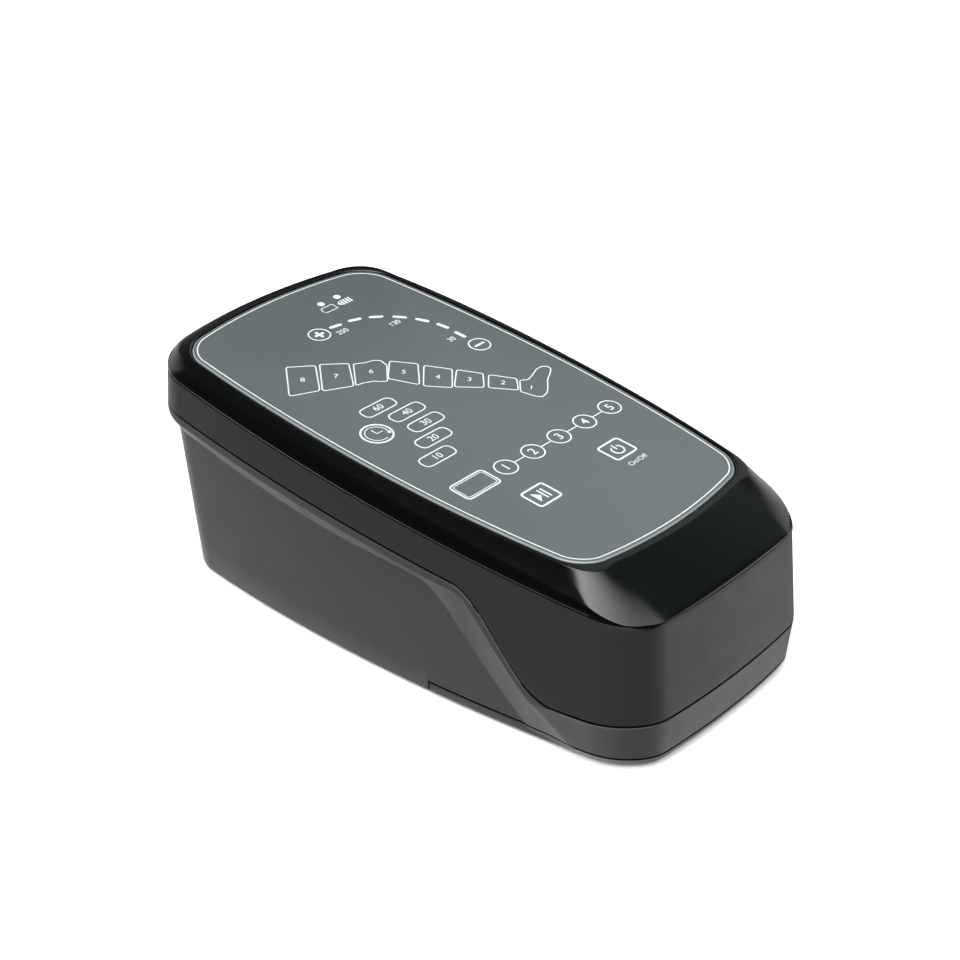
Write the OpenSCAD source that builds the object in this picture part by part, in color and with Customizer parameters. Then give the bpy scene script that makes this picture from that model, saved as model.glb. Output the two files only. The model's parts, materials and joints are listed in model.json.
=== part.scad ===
// Portable eight-outlet air compression pump: wedge-shaped housing with a
// sloping touch panel, battery bay below, twin diaphragm pump, eight valves.
// +X is the user's right, +Y the back, +Z up. Every size is in millimetres.

/* [Housing] */
// Greatest width of the housing at the bezel's lower edge
body_w = 114.4; // [110:0.2:120]
// Length of the housing at the bezel's lower edge
body_l = 220; // [216:0.5:224]
// Slope of the touch panel towards the user, in degrees
panel_tilt = 5.5; // [5:0.1:6]
// Outward slope of the housing walls, as a fraction of their height
wall_flare = 0.083; // [0.07:0.001:0.095]
// Wall thickness of the two housings
wall_t = 2.2; // [1.8:0.1:2.4]
// Height of the parting line above the base at the front
front_seam_z = 17.8; // [16:0.1:20]
// Depth of the parting line below the bezel along the sides
side_seam_d = 13.2; // [12:0.1:14]

/* [Panel] */
// Thickness of the panel lens
lens_t = 1.2; // [1:0.1:1.5]
// Thickness of the seal under the lens
seal_t = 0.5; // [0.3:0.1:0.6]
// Thickness of the display board
board_t = 1.6; // [1.2:0.1:1.6]

/* [Battery bay] */
// Travel of the battery cover when it slides off to the front
cover_travel = 88; // [84:1:100]
// Gap round the battery cover
cover_gap = 0.3; // [0.25:0.05:0.5]
// Diameter of one battery cell
cell_d = 18.4; // [18:0.1:18.6]
// Length of one battery cell
cell_l = 65; // [64:0.5:66]

/* [Pump] */
// Diameter of the motor
motor_d = 32; // [30:0.5:33]
// Throw of the eccentric
throw_r = 1.6; // [1.2:0.1:1.8]
// Radius of the eccentric's bearing
ecc_r = 4.5; // [4:0.1:5]

/* [Valves and outlets] */
// Pitch of the eight valves
valve_pitch = 11.4; // [11.2:0.1:11.6]
// Travel of a valve plunger
plunger_travel = 1.5; // [1:0.1:1.8]
// Outer radius of an air nozzle
nozzle_r = 2.2; // [2:0.1:2.4]
// Pitch of the air nozzles across the socket
nozzle_pitch = 9; // [8.6:0.1:9.4]

/* [Hidden] */
$fn = 48;

// where the base plane sits: on the feet, with the body centred on the origin
foot_h = 1.2;
shift_y = 0.9;
module place() { translate([0, shift_y, foot_h]) children(); }

// ---------- outline of the housing, seen from above ----------
hw = body_w / 2;
y_front = -body_l / 2;
y_back = body_l / 2;
widest_y = 21;
nc = 8;   // points on each corner
ns = 22;  // points on each side
ne = 9;   // points on the front and on the back

function clamp01(t) = min(1, max(0, t));
function smooth(t) = let (u = clamp01(t)) u * u * (3 - 2 * u);
function mix(a, b, t) = a + (b - a) * t;
// straight run with rounded ends, from 0 at ya to 1 at yb
function ease(y, ya, yb, e) = let (t = clamp01((ya - y) / (ya - yb)))
  t < e ? t * t / (2 * e * (1 - e)) :
  t > 1 - e ? 1 - (1 - t) * (1 - t) / (2 * e * (1 - e)) : (t - e / 2) / (1 - e);
function arc_pts(cx, cy, r, a0, n) =
  [for (i = [0:n - 1]) let (a = a0 + 90 * i / n) [cx + r * cos(a), cy + r * sin(a)]];
function seg_pts(x0, y0, x1, y1, n) =
  [for (i = [0:n - 1]) [x0 + (x1 - x0) * i / n, y0 + (y1 - y0) * i / n]];
// rounded rectangle with bulging sides and ends, narrower towards the front
function outline(w, yf, yb, rf, rb, kf, kb, yw, bf, bb) =
  [for (p = concat(
      arc_pts(w - rb, yb - rb, rb, 0, nc), seg_pts(w - rb, yb, rb - w, yb, ne),
      arc_pts(rb - w, yb - rb, rb, 90, nc), seg_pts(-w, yb - rb, -w, yf + rf, ns),
      arc_pts(rf - w, yf + rf, rf, 180, nc), seg_pts(rf - w, yf, w - rf, yf, ne),
      arc_pts(w - rf, yf + rf, rf, 270, nc), seg_pts(w, yf + rf, w, yb - rb, ns)))
    let (x = p[0], y = p[1],
      ww = w - (y < yw ? kf : kb) * (y - yw) * (y - yw),
      s = (y - (yf + yb) / 2) / ((yb - yf) / 2))
    [x * ww / w, y - sign(s) * pow(abs(s), 3) * (s > 0 ? bb : bf) * x * x]];
function normals(o) = let (n = len(o)) [for (i = [0:n - 1])
  let (a = o[(i + 1) % n] - o[(i + n - 1) % n]) [a[1], -a[0]] / norm(a)];
function grow(o, d) = let (m = normals(o)) [for (i = [0:len(o) - 1]) o[i] + m[i] * d];

plan = outline(hw, y_front, y_back, 16.5, 19.7, 0.000725, 0.000675, widest_y, 0.0010, 0.0014);
nrm = normals(plan);
N = len(plan);
IX = [0:N - 1];

// ---------- heights round the housing ----------
pan_y = -31;
pan_z = 71;
tan_t = tan(panel_tilt);
function z_panel(y) = pan_z + tan_t * (y - pan_y);
function z_edge(y) = z_panel(y) - mix(6.7, 11.0, smooth((108 - y) / 255));
function z_seam(y) = let (t = ease(y, -40.2, -81, 0.36), k = clamp01((110 - y) / 150))
  mix(z_edge(y) - side_seam_d + 1.9 * k, front_seam_z, t);
function z_ridge(y) = let (t = ease(y, -42.1, -88, 0.12), k = clamp01((110 - y) / 150))
  mix(z_edge(y) - side_seam_d - 3.7 + 2 * k, 3.4, t);
function z_ramp(y) = max(1.7, mix(z_edge(y) - side_seam_d - 7.1 + 2.2 * smooth((25 - y) / 55), -3, ease(y, -25.8, -80, 0.24)));
function recess(y) = smooth((y + 90) / 18);

// offset from the outline: separate amounts for the sides, the front and the back
function dir_off(i, side, front, back) =
  side * nrm[i][0] * nrm[i][0] + (nrm[i][1] > 0 ? back : front) * nrm[i][1] * nrm[i][1];
function flared(i, z) = wall_flare * (z_edge(plan[i][1]) - z);
// outer surface: flared down to the front parting line, then tucked in to the base
function outer_off(i, z) = z >= front_seam_z ? flared(i, z) :
  z >= 3.4 ? mix(dir_off(i, 0.4, 1.6, 0), flared(i, front_seam_z), (z - 3.4) / (front_seam_z - 3.4)) :
  mix(dir_off(i, -1.8, -0.2, -1.8), dir_off(i, 0.4, 1.6, 0), z / 3.4);
// recessed tub below the ridge: an even inset, with the rear drawn forward towards the base
function tub_off(i, z) = let (t = clamp01(z / 58)) dir_off(i, mix(-1.9, -0.95, t), mix(-0.2, 1.6, t), mix(-1.4, -2.1, t));
function tub_pull(z) = mix(7.7, 0.9, clamp01(z / 58));
function skin_off(i, z) = let (r = recess(plan[i][1])) mix(outer_off(i, z), tub_off(i, z), r);
function at(i, off, z, pull = 0) = [plan[i][0] + nrm[i][0] * off,
  plan[i][1] + nrm[i][1] * off - pull * clamp01((plan[i][1] - 30) / (y_back - 30)), z];
function skin(i, z, in = 0) = at(i, skin_off(i, z) - in, z, tub_pull(z));

// ---------- solids from rings of points ----------
function band_faces(n, k, j) = [for (i = [0:n - 1]) each
  let (a = k * n + i, b = k * n + (i + 1) % n, c = j * n + i, d = j * n + (i + 1) % n)
  [[a, c, b], [b, c, d]]];
// closed tube of rings, the last joined to the first
module ring_tube(rings) {
  n = len(rings[0]); m = len(rings);
  polyhedron(points = [for (r = rings) each r],
    faces = [for (k = [0:m - 1]) each band_faces(n, k, (k + 1) % m)], convexity = 6);
}
// stack of rings closed by a fan at each end
module ring_stack(rings, low, high) {
  n = len(rings[0]); m = len(rings);
  polyhedron(points = concat([for (r = rings) each r], [low, high]),
    faces = concat([for (k = [0:m - 2]) each band_faces(n, k, k + 1)],
      [for (i = [0:n - 1]) [m * n, i, (i + 1) % n]],
      [for (i = [0:n - 1]) [m * n + 1, (m - 1) * n + (i + 1) % n, (m - 1) * n + i]]), convexity = 6);
}

// ---------- helpers ----------
module box(x0, x1, y0, y1, z0, z1) { translate([x0, y0, z0]) cube([x1 - x0, y1 - y0, z1 - z0]); }
module cz(x, y, r, z0, z1) { translate([x, y, z0]) cylinder(r = r, h = z1 - z0); }
module cy(x, z, r, y0, y1) { translate([x, y0, z]) rotate([-90, 0, 0]) cylinder(r = r, h = y1 - y0); }
module cx(y, z, r, x0, x1) { translate([x0, y, z]) rotate([0, 90, 0]) cylinder(r = r, h = x1 - x0); }
module mirrored() { children(); mirror([1, 0, 0]) children(); }
// the tilted frame of the panel: z = 0 is the face of the lens
module on_panel() { translate([0, pan_y, pan_z]) rotate([panel_tilt, 0, 0]) children(); }
function from_panel(p) = [p[0], pan_y + p[1] * cos(panel_tilt) - p[2] * sin(panel_tilt),
  pan_z + p[1] * sin(panel_tilt) + p[2] * cos(panel_tilt)];

// ---------- panel outline, in the panel's own frame ----------
print_line = outline(48.19, -55.62, 130.36, 9.06, 10.75, 0.000805, 0.000616, 45.84, 0.002043, 0.002345);
function pan_ring(d, z) = let (o = grow(print_line, d)) [for (p = o) from_panel([p[0], p[1], z])];
seat_z = -lens_t - seal_t;

// ================= housing =================
// a value given at the side, the rear corner, the rear, the front corner and the front, blended round the outline
function round_case(i, s, rc, r, fc, f) = let (n = nrm[i], t = asin(min(1, abs(n[1]))) / 90,
    c = n[1] >= 0 ? rc : fc, e = n[1] >= 0 ? r : f)
  t < 0.5 ? mix(s, c, smooth(2 * t)) : mix(c, e, smooth(2 * t - 1));
// section of the bezel outwards from the lens: land, crest, slope and rolled lower edge, as [out, down] pairs
function bezel_section(i, d, h) = let (w = round_case(i, 1.45, 3.5, 2.3, 3.5, 1.4),
    g0 = round_case(i, 10, 3, 5, 9, 10), g = round_case(i, 31.2, 53, 30.5, 36, 30.6),
    crest_r = round_case(i, 0.8, 2.1, 1.5, 3, 1), s = sin(g), c = cos(g),
    pw = [w, w * tan(g0)], p1 = pw + crest_r * [s - sin(g0), cos(g0) - c],
    b0 = d - p1[0], b1 = h - p1[1],
    slope = max(0.2, b0 * c / (1 - s) - b1), r = max(0.3, (c * b1 - s * b0) / (1 - s)),
    p2 = p1 + slope * [c, s], gm = (g0 + g) / 2)
  [pw, pw + crest_r * [sin(gm) - sin(g0), cos(g0) - cos(gm)], p1, p2,
   for (k = [1, 2]) let (a = g + (90 - g) * k / 3) p2 + r * [sin(a) - s, c - cos(a)], [d, h]];
module top_bezel() color([0.04, 0.045, 0.05]) {
  lip = pan_ring(2.9, 0.2);
  edge = [for (i = IX) at(i, 0, z_edge(plan[i][1]))];
  section = [for (i = IX) let (v = edge[i] - lip[i]) bezel_section(i, norm([v[0], v[1]]), -v[2])];
  ring_tube(concat(
    [for (k = [6:-1:0]) [for (i = IX) let (v = edge[i] - lip[i], q = section[i][k], m = norm([v[0], v[1]]))
      lip[i] + [v[0] * q[0] / m, v[1] * q[0] / m, -q[1]]]],
    [lip, pan_ring(2.1, 0.1), pan_ring(2.1, seat_z), pan_ring(-1.6, seat_z),
     pan_ring(-1.6, seat_z - 1.6), pan_ring(1.8, seat_z - 1.6)],
    [[for (i = IX) at(i, -2.4, z_edge(plan[i][1]))]]));
}
module control_panel() color([0.45, 0.48, 0.48]) on_panel()
  translate([0, 0, -lens_t]) linear_extrude(lens_t) polygon(grow(print_line, 1.7));
module panel_seal() color([0.1, 0.1, 0.1]) on_panel()
  translate([0, 0, seat_z]) linear_extrude(seal_t) difference() {
    polygon(grow(print_line, 1.5));
    polygon(grow(print_line, -1.4));
  }
frame_z = seat_z - 1.6;
screw_xy = [[37, -40], [44, 26], [41.5, 92]];
module board_holes(r, z0, z1) for (p = screw_xy) mirrored() cz(p[0], p[1], r, z0, z1);
module panel_frame() color([0.85, 0.85, 0.82]) on_panel() difference() {
  translate([0, 0, frame_z - 2]) linear_extrude(2) difference() {
    polygon(grow(print_line, 1));
    polygon(grow(print_line, -7.5));
  }
  board_holes(1.0, frame_z - 3, frame_z - 0.5);
}
board_top = frame_z - 2;
module display_board() color([0.1, 0.35, 0.2]) on_panel() difference() {
  translate([0, 0, board_top - board_t]) linear_extrude(board_t) polygon(grow(print_line, -1.5));
  board_holes(1.15, board_top - 3, board_top + 1);
}
module board_screws() color([0.7, 0.7, 0.72]) on_panel() {
  board_holes(0.95, board_top - board_t - 0.6, frame_z - 0.7);
  difference() {
    board_holes(1.9, board_top - board_t - 1.4, board_top - board_t);
    board_holes(0.7, board_top - board_t - 2, board_top - board_t - 0.9);
  }
}
// touch keys: mode, start, power, plus, minus, timer and the eight chamber keys
key_xy = [[-16.8, 0.5], [-3.3, -18.2], [35.5, -18.2], [14.4, 101.5], [51.9, 58.4], [-16.6, 42.4],
  [-15, 86], [-5, 79], [5, 71.5], [13, 64], [20, 54.5], [27, 46.5], [31, 39], [39.5, 24]];
module touch_pads() color([0.15, 0.15, 0.16]) on_panel()
  for (k = key_xy) cz(k[0] - 17.2, k[1], 3.4, board_top, -lens_t);
led_xy = [[21, 102], [29, 100.6], [36.5, 97], [42.6, 91.4], [46.9, 84.4], [49.4, 76], [49.7, 67.4],
  [28.3, 117], [36.3, 117], [-4.9, 53.2], [0.4, 45], [0.6, 36.3], [-4.6, 28], [-11.7, 19.5],
  [0, 5.2], [13.4, 5.2], [26.8, 5.2], [40.1, 5.2], [53.5, 5.2]];
module panel_leds() color([0.9, 0.9, 0.8]) on_panel()
  for (k = led_xy) translate([k[0] - 17.2 - 0.9, k[1] - 0.6, board_top]) cube([1.8, 1.2, 0.8]);

front_boss = [44.7, -84];
rear_boss = [40, 84];
module upper_housing() color([0.17, 0.17, 0.175]) difference() {
  union() {
    ring_tube([for (t = [0, 0.5, 1]) [for (i = IX) let (y = plan[i][1], z = mix(z_seam(y) + 0.1, z_edge(y) - 0.04, t)) at(i, flared(i, z), z)],
      for (t = [1, 0.5, 0]) [for (i = IX) let (y = plan[i][1], z = mix(z_seam(y) + 0.1, z_edge(y) - 0.04, t)) at(i, flared(i, z) - 2.4, z)]]);
    mirrored() {
      cz(front_boss[0], front_boss[1], 4.2, 30, 50);
      cz(rear_boss[0], rear_boss[1], 4.2, 50, 73);
      box(rear_boss[0], 53.4, 83, 85, 64, 73);
    }
  }
  mirrored() {
    cz(front_boss[0], front_boss[1], 1.45, 29, 45);
    cz(rear_boss[0], rear_boss[1], 1.45, 49, 66);
  }
}
// whole outside of the lower housing and its cover, as one block
function block_rings() = [
   [for (i = IX) at(i, skin_off(i, 0) - 0.9, 0, tub_pull(0))],
   [for (i = IX) skin(i, 0.8)],
   [for (i = IX) skin(i, mix(0.8, z_ramp(plan[i][1]), 0.5))],
   [for (i = IX) skin(i, z_ramp(plan[i][1]))],
   [for (i = IX) let (z = z_ridge(plan[i][1]), r = recess(plan[i][1])) at(i, outer_off(i, z) - 0.4 * r, z, 1.1 * r)],
   [for (i = IX) let (y = plan[i][1], z = mix(z_ridge(y), z_seam(y), 0.45), r = recess(y)) at(i, outer_off(i, z) - 0.1 * r, z, 0.3 * r)],
   [for (i = IX) let (z = z_seam(plan[i][1])) at(i, flared(i, z), z)]];
module lower_block() ring_stack(block_rings(), [0, 0, 0], [0, 0, 40]);
function seam_in(i, z) = let (a = skin(i, z, wall_t), b = at(i, flared(i, z) - wall_t, z), r = recess(plan[i][1])) mix(b, a, r);
// height of the joint between the lower housing and the battery cover
cover_z = 4.1;
// side view of the room that the battery cover takes
module cover_room(g) rotate([90, 0, 90]) translate([0, 0, -70]) linear_extrude(140)
  polygon([[-28 - g, -1], [-28 - g, cover_z - g], [-125, cover_z - g], [-125, -1]]);
bay_open = [38.6, -99.3, -30.7];
function slab_ring() = [for (i = IX) let (p = skin(i, 5, wall_t - 0.5)) [p[0], min(p[1], -25)]];
grommet_xy = [[21.6, -14], [21.6, 44]];
module lower_housing() color([0.28, 0.28, 0.285]) {
  lower_shell();
  // rails for the battery cover
  mirrored() {
    box(41.8, 43.2, -76, -32, 2.9, cover_z + 0.4);
    box(40.6, 44.4, -76, -32, 2.3, 2.95);
  }
}
module lower_shell() difference() {
  union() {
    lower_cup();
    // floor over the battery bay
    translate([0, 0, cover_z]) linear_extrude(6.8 - cover_z) polygon(slab_ring());
    mirrored() {
      cz(front_boss[0], front_boss[1], 4.2, cover_z, 29.8);
      cz(rear_boss[0], rear_boss[1], 4.2, 0.5, 49.8);
      for (g = grommet_xy) cz(g[0], g[1], 2, 2, 9.5);
    }
  }
  cover_room(0);
  box(-bay_open[0], bay_open[0], bay_open[1], bay_open[2], 3, 9);
  // mouth of the rear port bay
  box(-33.8, 33.8, 86, 125, 17.2, 46.8);
  mirrored() {
    cz(front_boss[0], front_boss[1], 1.6, 3, 31);
    cz(front_boss[0], front_boss[1], 3.1, 3, 8);
    cz(rear_boss[0], rear_boss[1], 1.6, -2, 52);
    cz(rear_boss[0], rear_boss[1], 3.1, -2, 7);
    for (g = grommet_xy) cz(g[0], g[1], 0.95, 3, 10);
    cz(34, 66, 7.15, -1, 0.7);
  }
}
module lower_cup() ring_stack(concat(block_rings(),
   [[for (i = IX) let (z = z_seam(plan[i][1])) seam_in(i, z)],
    [for (i = IX) skin(i, mix(z_ridge(plan[i][1]), z_seam(plan[i][1]), 0.4), wall_t)],
    [for (i = IX) skin(i, max(4, z_ramp(plan[i][1]) + 1.2), wall_t + 0.3)],
    [for (i = IX) skin(i, 2.4, wall_t)]]), [0, 0, 0], [0, 0, 2.4]);
module housing_screws() color([0.6, 0.6, 0.62]) mirrored() {
  difference() {
    union() { cz(front_boss[0], front_boss[1], 1.4, 7.9, 42); cz(front_boss[0], front_boss[1], 2.8, 5.8, 8); }
    cz(front_boss[0], front_boss[1], 1.1, 5, 6.8);
  }
  difference() {
    union() { cz(rear_boss[0], rear_boss[1], 1.4, 6.9, 63); cz(rear_boss[0], rear_boss[1], 2.8, 4.8, 7); }
    cz(rear_boss[0], rear_boss[1], 1.1, 4, 5.8);
  }
}
module rear_feet() color([0.08, 0.08, 0.08]) mirrored() cz(34, 66, 7, -foot_h, 0.7);

// ================= battery bay =================
module battery_cover() color([0.28, 0.28, 0.285]) difference() {
  union() {
    difference() {
      intersection() { lower_block(); cover_room(cover_gap); }
      // hollow inside the skirt
      translate([0, 0, 1.8]) linear_extrude(4)
        polygon([for (i = IX) let (p = skin(i, 2.4, 2.2)) [p[0], p[1]]]);
    }
    // channels that ride on the rails
    mirrored() {
      box(38.9, 40.1, -74, -34, 1.5, 3.7);
      box(44.9, 46.1, -74, -34, 1.5, 3.7);
      box(38.9, 41.5, -74, -34, 3.15, 3.7);
      box(43.5, 46.1, -74, -34, 3.15, 3.7);
    }
  }
  mirrored() cz(34, -84, 7.15, -1, 0.7);
}
module front_feet() color([0.08, 0.08, 0.08]) mirrored() cz(34, -84, 7, -foot_h, 0.7);
cell_z = 4.2 + cell_d / 2;
module battery_pad() color([0.2, 0.2, 0.2]) box(-36, 36, -95, -35, 1.8, 3.8);
module battery_tray() color([0.2, 0.2, 0.21]) {
  difference() {
    box(-40.2, 40.2, -100.9, -29.1, 6.8, 25);
    box(-38.6, 38.6, -99.3, -30.7, 5, 23.4);
    box(-8, 8, -32, -28, 12, 20);
  }
  for (p = [[35, -94], [35, -38]]) mirrored() difference() {
    cz(p[0], p[1], 3, 25, 30);
    cz(p[0], p[1], 1.05, 25.5, 31);
  }
}
module battery_cells() color([0.15, 0.35, 0.6])
  for (k = [-1.5, -0.5, 0.5, 1.5]) {
    cy(k * (cell_d + 0.2), cell_z, cell_d / 2, -65 - cell_l / 2, -65 + cell_l / 2 - 0.6);
    cy(k * (cell_d + 0.2), cell_z, 3, -65 + cell_l / 2 - 0.6, -65 + cell_l / 2);
  }
module battery_end_plates() color([0.8, 0.8, 0.78]) {
  box(-37.5, 37.5, -65 + cell_l / 2, -65 + cell_l / 2 + 1.2, 5, 22.5);
  box(-37.5, 37.5, -65 - cell_l / 2 - 1.2, -65 - cell_l / 2, 5, 22.5);
}

// ================= electronics =================
module main_board_at(r, z0, z1) for (p = [[35, -94], [35, -38]]) mirrored() cz(p[0], p[1], r, z0, z1);
module main_board() color([0.1, 0.35, 0.2]) difference() {
  box(-38.5, 38.5, -98, -34, 30, 31.6);
  main_board_at(1.3, 29, 33);
}
module main_board_screws() color([0.7, 0.7, 0.72]) difference() {
  union() { main_board_at(1.0, 26, 31.8); main_board_at(2.2, 31.6, 33.2); }
  main_board_at(0.8, 32.4, 34);
}
module board_chips() color([0.08, 0.08, 0.08]) {
  box(-6, 6, -78, -66, 31.6, 33.2);
  box(14, 22, -60, -54, 31.6, 33.2);
  box(-26, -20, -62, -52, 31.6, 33.6);
  box(-30, -22, -84, -78, 31.6, 35.6);
  box(-12, 28, -44, -38, 31.6, 38);
}
module board_capacitors() color([0.2, 0.25, 0.4]) {
  cz(-30, -70, 4, 31.6, 43.6);
  cz(-20, -72, 4, 31.6, 43.6);
  cz(26, -72, 3.2, 31.6, 40.6);
}
module buzzer() color([0.07, 0.07, 0.07]) difference() { cz(14, -88, 6, 31.6, 39); cz(14, -88, 1, 37, 40); }
module pressure_sensor() color([0.3, 0.3, 0.32]) difference() {
  union() { box(24, 34, -92, -82, 31.6, 36.6); cz(29, -87, 1.6, 36.6, 42.6); }
  cz(29, -87, 0.8, 34, 43);
}

// ================= rear ports =================
socket_z = [27, 38];
function nozzle_x(k, row) = -25.5 + nozzle_pitch * (k + row / 2);
module port_bay() color([0.12, 0.12, 0.125]) difference() {
  union() {
    difference() {
      box(-33.6, 33.6, 86, 112, 17.4, 46.6);
      box(-32, 32, 88.4, 113, 19, 45);
      // the mouth follows the slope of the rear wall
      translate([0, 101.8, 0]) rotate([-6, 0, 0]) translate([-60, 0, -20]) cube([120, 60, 100]);
    }
    // flange behind the wall
    difference() {
      box(-36, 36, 86, 88, 15, 49);
      box(-33, 33, 85, 89, 18, 46);
    }
  }
  box(-30.5, 11, 85, 90, 21, 44);
  cy(23, 32, 5.65, 85, 90);
}
module outlet_socket() color([0.2, 0.2, 0.205]) difference() {
  union() {
    box(-30.4, 10.9, 84, 89.4, 21.1, 43.9);
    for (k = [0:3], row = [0, 1]) cy(nozzle_x(k, row), socket_z[row], nozzle_r, 81, 101);
  }
  for (k = [0:3], row = [0, 1]) cy(nozzle_x(k, row), socket_z[row], 1.2, 78, 102);
}
module dc_jack() color([0.06, 0.06, 0.06]) {
  difference() {
    union() {
      cy(23, 32, 5.6, 80, 90.6);
      box(17.4, 28.6, 79.5, 84, 26.4, 37.6);
      difference() { cy(23, 32, 7.4, 88.4, 90.6); cy(23, 32, 5.5, 88, 91); }
    }
    cy(23, 32, 2.85, 81.5, 91);
  }
  cy(23, 32, 1.0, 81, 89.5);
}

// ================= pump =================
mz = 30;
module motor_case() color([0.65, 0.66, 0.68]) difference() {
  union() {
    cy(0, mz, motor_d / 2, -22, 20);
    cy(0, mz, motor_d / 2 - 0.8, 20, 21.8);
    cy(0, mz, 5, 21.8, 24.4);
    cy(0, mz, 5, -24.4, -22);
    box(-9, -6, -26, -22, mz - 1, mz + 1);
    box(6, 9, -26, -22, mz - 1, mz + 1);
  }
  cy(0, mz, 1.55, -25, 26);
}
module motor_shaft() color([0.8, 0.8, 0.82]) cy(0, mz, 1.5, -26, 44.5);
module eccentric() color([0.55, 0.5, 0.4]) difference() {
  union() {
    difference() {
      cy(0, mz, 8.4, 26.6, 30.6);
      box(-10, 10, 26, 31, mz + 2.5, mz + 12);
    }
    cy(0, mz, 3.2, 30.6, 31.6);
    translate([0, 0, throw_r]) cy(0, mz, ecc_r, 31.4, 43);
  }
  cy(0, mz, 1.5, 26, 44);
}
rod_y = [34.4, 40];
ring_r = ecc_r + 2 * throw_r + 0.6;
module crankcase() color([0.75, 0.76, 0.74]) difference() {
  box(-17.5, 17.5, 22, 52, 12, 48);
  box(-13.6, 13.6, 25.6, 49, 16, 44);
  cy(0, mz, 5.05, 21, 27);
  cx(rod_y[0], mz, 9.5, -18, -10);
  cx(rod_y[1], mz, 9.5, 10, 18);
  cz(0, 37, 2, 43, 49);
  cy(0, mz, 5, 48, 53);
  for (s = [0, 1]) for (dy = [-10, 10], dz = [-10, 10])
    cx(rod_y[s] + dy * 1.02, mz + dz * 1.02, 1.0, s == 0 ? -18 : 13.9, s == 0 ? -13.9 : 18);
}
// one rod: a ring round the eccentric, a neck and the plate that drives the diaphragm
module rod(y) difference() {
  union() {
    cy(0, mz, ring_r + 1.6, y - 2.2, y + 2.2);
    box(8.6, 15.6, y - 2.2, y + 2.2, mz - 3, mz + 3);
    cx(y, mz, 7.4, 15.4, 17.4);
  }
  cy(0, mz, ring_r, y - 3, y + 3);
}
module left_rod() color([0.9, 0.9, 0.88]) mirror([1, 0, 0]) rod(rod_y[0]);
module right_rod() color([0.9, 0.9, 0.88]) rod(rod_y[1]);
module diaphragm(y) difference() {
  union() { cx(y, mz, 12.6, 17.5, 18.7); cx(y, mz, 6, 18.7, 19.5); }
  cx(y, mz, 2, 17, 20);
  for (dy = [-10, 10], dz = [-10, 10]) cx(y + dy * 1.02, mz + dz * 1.02, 1.2, 17, 20);
}
module left_diaphragm() color([0.1, 0.1, 0.1]) mirror([1, 0, 0]) diaphragm(rod_y[0]);
module right_diaphragm() color([0.1, 0.1, 0.1]) diaphragm(rod_y[1]);
module head(y) difference() {
  union() {
    box(18.7, 30, y - 13, y + 13, mz - 13, mz + 13);
    for (d = [-5, 5]) cz(24.5, y + d, 2.2, mz + 13, mz + 19);
  }
  cx(y, mz, 10, 18, 22.6);
  for (d = [-5, 5]) cz(24.5, y + d, 1.2, mz + 4, mz + 20);
  for (d = [-5, 5]) cx(y + d, mz + 5, 1.2, 22, 24.5);
  for (dy = [-10, 10], dz = [-10, 10]) cx(y + dy * 1.02, mz + dz * 1.02, 1.2, 18, 31);
}
module pump_heads() color([0.25, 0.25, 0.26]) { mirror([1, 0, 0]) head(rod_y[0]); head(rod_y[1]); }
module head_screw_set(y) for (dy = [-10, 10], dz = [-10, 10]) {
  cx(y + dy * 1.02, mz + dz * 1.02, 0.95, 14.2, 30.1);
  cx(y + dy * 1.02, mz + dz * 1.02, 2, 30, 31.6);
}
module head_screws() color([0.7, 0.7, 0.72]) { mirror([1, 0, 0]) head_screw_set(rod_y[0]); head_screw_set(rod_y[1]); }
module pump_bracket() color([0.6, 0.62, 0.64]) difference() {
  union() {
    box(-27, 27, -20, 50, 8, 10);
    box(-15, 15, 23, 50, 10, 12);
    box(-12, 12, -16, -8, 10, 18);
    box(-12, 12, 8, 16, 10, 18);
  }
  cy(0, mz, motor_d / 2, -30, 21);
  for (g = grommet_xy) mirrored() cz(g[0], g[1], 3.1, 7, 11);
}
module pump_grommets() color([0.07, 0.07, 0.07]) for (g = grommet_xy) mirrored() difference() {
  union() { cz(g[0], g[1], 4.6, 2.4, 8); cz(g[0], g[1], 3.0, 7.9, 10.1); cz(g[0], g[1], 4.2, 10, 11.2); }
  cz(g[0], g[1], 2.05, 2, 9.6);
  cz(g[0], g[1], 1.2, 9, 12);
}
module pump_screws() color([0.7, 0.7, 0.72]) for (g = grommet_xy) mirrored() difference() {
  union() { cz(g[0], g[1], 0.9, 4, 11.4); cz(g[0], g[1], 3.4, 11.2, 13); }
  cz(g[0], g[1], 1.1, 12.2, 14);
}
module inlet_filter() color([0.55, 0.55, 0.5]) {
  difference() {
    union() { cz(0, 37, 8, 49, 59); cz(0, 37, 1.95, 45, 49.2); }
    cz(0, 37, 1.1, 44, 52);
    for (a = [0:60:300]) cz(4.6 * cos(a), 37 + 4.6 * sin(a), 0.9, 56, 60);
  }
}

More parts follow.
